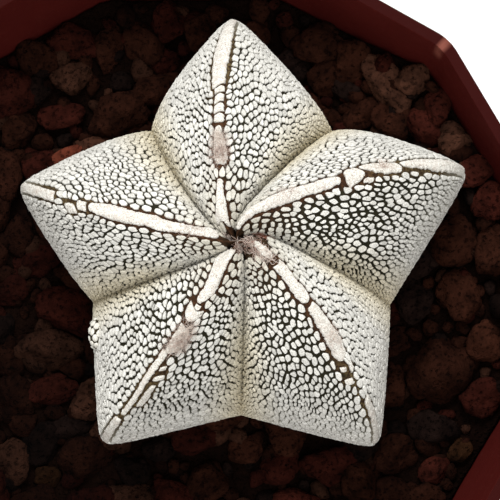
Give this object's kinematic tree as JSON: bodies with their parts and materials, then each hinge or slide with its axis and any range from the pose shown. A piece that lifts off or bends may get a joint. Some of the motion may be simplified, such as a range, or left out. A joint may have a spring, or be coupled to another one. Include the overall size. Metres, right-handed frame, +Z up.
{
  "type": "potted cactus",
  "caption": "Star-shaped ribbed cactus covered in fine white flecks, growing in dark lava gravel in a thin round-cornered polygonal plastic pot.",
  "frame": {"origin": "middle of the pot's base, on the surface that it stands on", "axes": "+Z up out of the pot; +X and +Y at right angles to two of the pot's flat sides"},
  "size_m": [0.09, 0.09, 0.0938],
  "materials": {
    "pot_plastic": "satin",
    "lava_stone": "matte",
    "flecked_skin": "matte"
  },
  "bodies": {
    "root": {"pot": "pot_plastic", "gravel_bed": "lava_stone", "cactus": "flecked_skin"}
  },
  "joints": []
}
